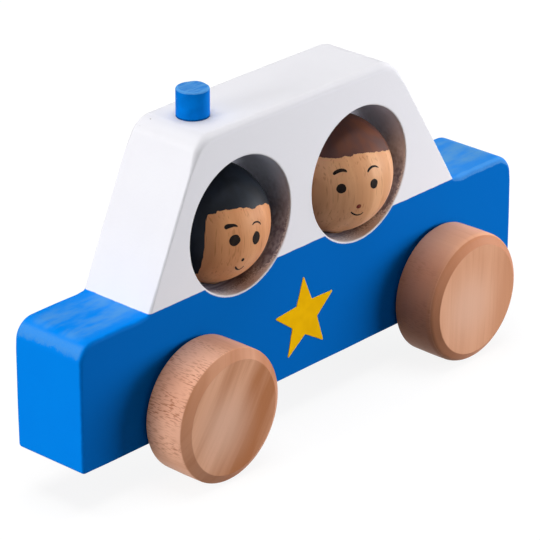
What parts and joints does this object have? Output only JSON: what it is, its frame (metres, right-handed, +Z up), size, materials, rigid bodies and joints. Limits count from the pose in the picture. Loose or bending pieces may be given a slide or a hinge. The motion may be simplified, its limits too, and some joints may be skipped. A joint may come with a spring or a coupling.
{
  "type": "wooden toy police car",
  "caption": "Flat-board wooden toy car with ball heads that turn in round through windows, a dowel beacon on the roof, star trim and wheels glued to turning dowel axles.",
  "frame": {"origin": "on the ground under the middle of the board", "axes": "+X to the front of the car, +Y to its left side, +Z up"},
  "size_m": [0.157, 0.0494, 0.0912],
  "materials": {
    "painted_board": "satin blue and white paint on sanded beech",
    "beacon_paint": "satin blue paint on a beech dowel",
    "driver_ball": "clear satin finish on a turned beech ball, with painted black hair and face",
    "passenger_ball": "clear satin finish on a turned beech ball, with painted brown hair and face",
    "dowel_wood": "plain sanded beech dowel",
    "wheel_wood": "clear satin finish on turned beech",
    "star_paint": "matte mustard yellow paint"
  },
  "bodies": {
    "car_body": {"body_block": "painted_board", "beacon": "beacon_paint", "star_left": "star_paint", "star_right": "star_paint"},
    "front_axle_set": {"front_axle": "dowel_wood", "wheel_front_left": "wheel_wood", "wheel_front_right": "wheel_wood"},
    "rear_axle_set": {"rear_axle": "dowel_wood", "wheel_rear_left": "wheel_wood", "wheel_rear_right": "wheel_wood"},
    "driver": {"driver_head": "driver_ball", "driver_neck": "dowel_wood"},
    "passenger": {"passenger_head": "passenger_ball", "passenger_neck": "dowel_wood"}
  },
  "joints": [
    {"name": "front_axle_spin", "type": "hinge", "parent": "car_body", "child": "front_axle_set", "pos_m": [0.0414, 0, 0.0171], "axis": [0, 1, 0], "continuous": true},
    {"name": "rear_axle_spin", "type": "hinge", "parent": "car_body", "child": "rear_axle_set", "pos_m": [-0.0489, 0, 0.0171], "axis": [0, 1, 0], "continuous": true},
    {"name": "driver_head_turn", "type": "hinge", "parent": "car_body", "child": "driver", "pos_m": [0.0242, 0.0003, 0.0555], "axis": [0, 0, 1], "continuous": true},
    {"name": "passenger_head_turn", "type": "hinge", "parent": "car_body", "child": "passenger", "pos_m": [-0.0186, 0.0022, 0.0555], "axis": [0, 0, 1], "continuous": true}
  ]
}
